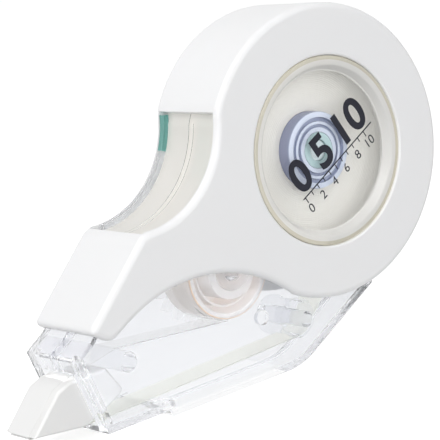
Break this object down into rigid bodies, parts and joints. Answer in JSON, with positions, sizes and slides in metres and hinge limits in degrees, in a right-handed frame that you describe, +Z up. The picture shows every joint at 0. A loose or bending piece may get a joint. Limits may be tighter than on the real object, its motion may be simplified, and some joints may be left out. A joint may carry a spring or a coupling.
{
  "type": "correction tape dispenser",
  "caption": "Hand-held correction tape: a white ring-and-arm cover over a clear cassette with geared tape reels and a wedge-shaped transfer head.",
  "frame": {"origin": "centre of the bounding box on the plane that the flat base rests on", "axes": "+X along the body from the head (-X) to the ring, +Y across the width with the near printed side facing -Y, +Z up from the flat base edge"},
  "size_m": [0.0786, 0.015, 0.0524],
  "materials": {
    "white_cover": "smooth white moulded plastic with a soft gloss",
    "clear_cassette": "clear polystyrene, polished",
    "head_plastic": "smooth white plastic, satin",
    "teal_gear": "teal acetal, satin",
    "clutch_rubber": "soft grey rubber",
    "blue_core": "periwinkle blue moulded plastic",
    "tape_roll": "edge of the wound cream tape, fine rings",
    "coated_tape": "matt cream coating on a thin liner",
    "liner_film": "thin glossy release liner",
    "reel_white": "natural white moulded plastic",
    "drum_peach": "translucent pale peach plastic",
    "clear_roller": "clear moulded plastic"
  },
  "bodies": {
    "body": {"outer_cover": "white_cover", "cassette_front": "clear_cassette", "cassette_back": "clear_cassette", "transfer_head": "head_plastic", "feed_tape": "coated_tape", "return_liner": "liner_film"},
    "supply_drive": {"supply_gear": "teal_gear", "clutch_ring": "clutch_rubber"},
    "supply_spool": {"supply_core": "blue_core", "supply_tape_roll": "tape_roll"},
    "take_up_reel": {"take_up_gear": "reel_white", "take_up_drum": "drum_peach", "take_up_liner": "liner_film"},
    "roller": {"guide_roller": "clear_roller"}
  },
  "joints": [
    {"name": "supply_gear_spin", "type": "hinge", "parent": "body", "child": "supply_drive", "pos_m": [0.0172, 0, 0.03045], "axis": [0, 1, 0], "continuous": true},
    {"name": "spool_slip", "type": "hinge", "parent": "supply_drive", "child": "supply_spool", "pos_m": [0.0172, 0, 0.03045], "axis": [0, 1, 0], "continuous": true},
    {"name": "take_up_spin", "type": "hinge", "parent": "body", "child": "take_up_reel", "pos_m": [-0.00229, 0, 0.0171], "axis": [0, 1, 0], "continuous": true},
    {"name": "roller_spin", "type": "hinge", "parent": "body", "child": "roller", "pos_m": [0.0095, 0, 0.00635], "axis": [0, 1, 0], "continuous": true}
  ],
  "couplings": [
    {"joint": "take_up_spin", "follows": "supply_gear_spin", "ratio": -2}
  ]
}
